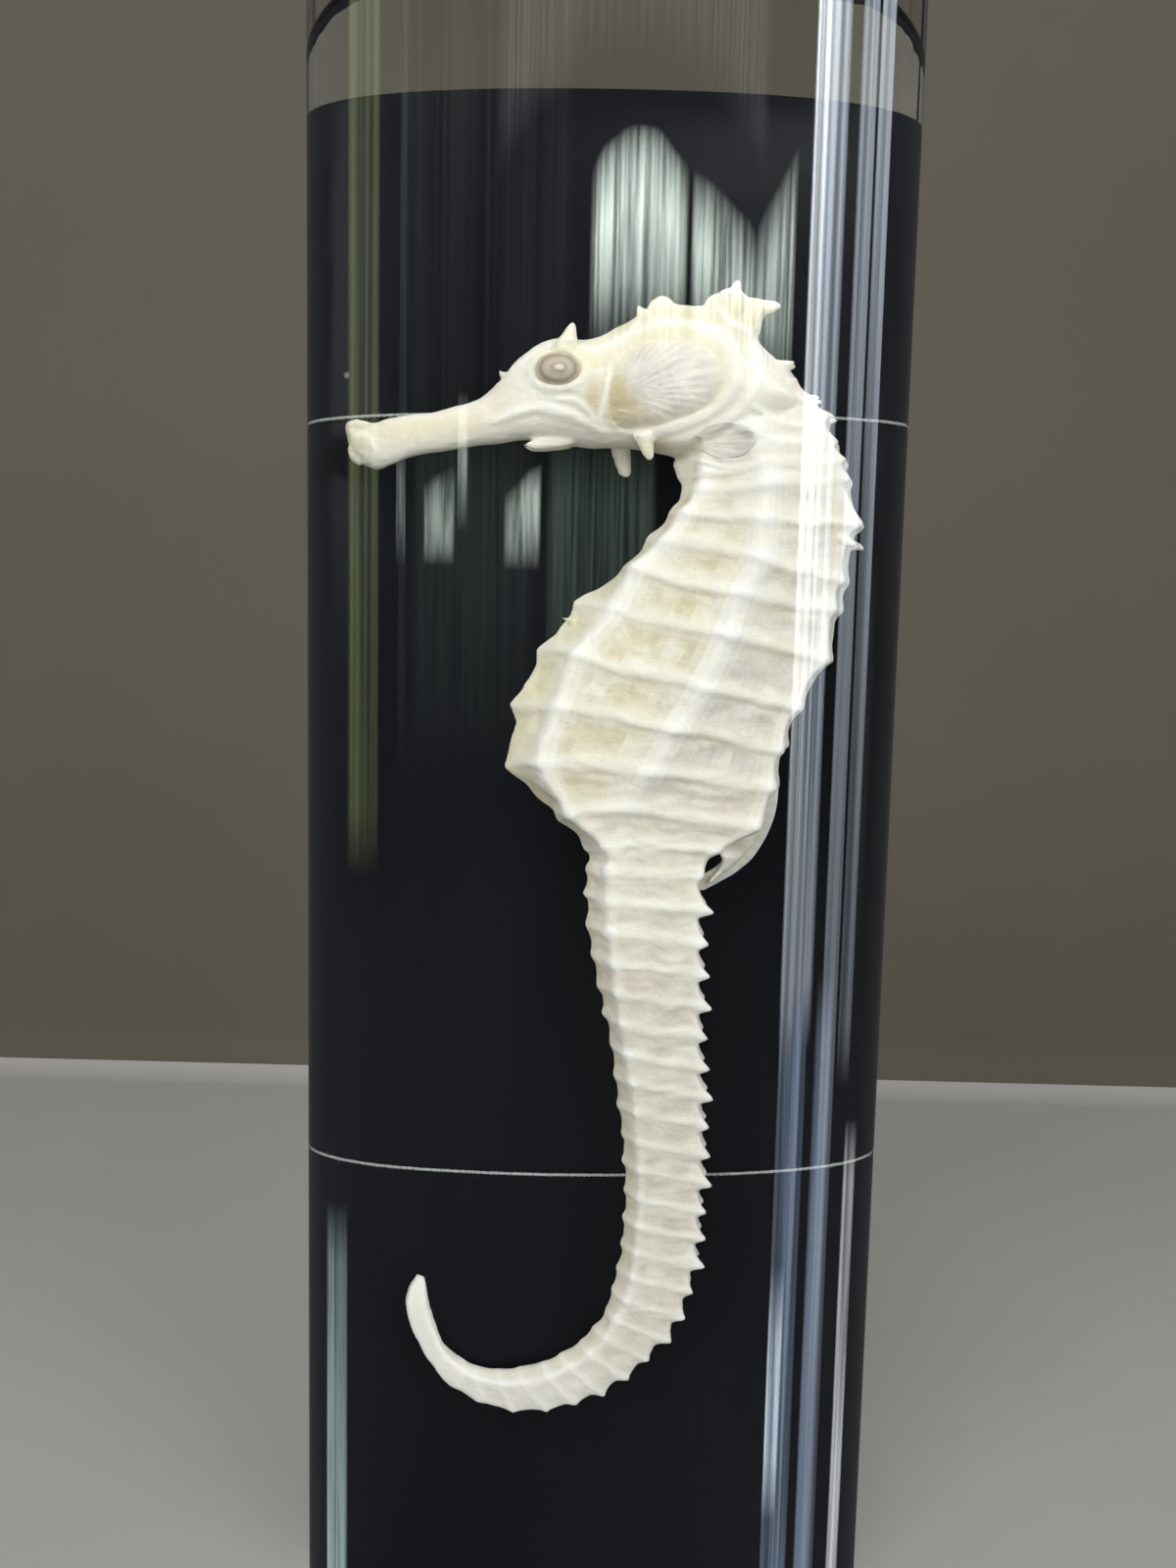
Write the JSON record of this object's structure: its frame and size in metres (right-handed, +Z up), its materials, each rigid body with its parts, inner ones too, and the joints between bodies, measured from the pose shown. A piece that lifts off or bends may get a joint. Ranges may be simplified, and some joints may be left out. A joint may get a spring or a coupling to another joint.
{
  "type": "specimen jar",
  "caption": "Glass museum cylinder with a knobbed lid, holding a preserved seahorse tied with thread to a black plate in fluid.",
  "frame": {"origin": "centre of the jar's foot, on the plane it stands on", "axes": "+Z up along the jar's axis; the specimen is on the -Y side of the backing plate, its snout towards -X"},
  "size_m": [0.076, 0.076, 0.2565],
  "materials": {
    "jar_glass": "gloss",
    "lid_glass": "gloss",
    "fluid": "gloss",
    "seal": "satin",
    "black_acrylic": "satin",
    "cotton": "matte",
    "skin": "matte",
    "fin": "satin",
    "eye": "gloss"
  },
  "bodies": {
    "jar": {"jar_cylinder": "jar_glass", "sealing_ring": "seal", "preserving_fluid": "fluid"},
    "lid": {"lid": "lid_glass"},
    "mount": {"backing_plate": "black_acrylic", "upper_thread": "cotton", "lower_thread": "cotton", "seahorse_body": "skin", "near_eye": "eye", "far_eye": "eye", "dorsal_fin": "fin", "near_pectoral_fin": "fin", "far_pectoral_fin": "fin"}
  },
  "joints": [
    {"name": "lid_lift", "type": "slide", "parent": "jar", "child": "lid", "axis": [0, 0, 1], "range_m": [0, 0.3]},
    {"name": "mount_lift", "type": "slide", "parent": "jar", "child": "mount", "axis": [0, 0, 1], "range_m": [0, 0.225], "deforming": ["preserving_fluid"]}
  ],
  "couplings": [
    {"joint": "mount_lift", "follows": "lid_lift", "ratio": 0.75}
  ]
}
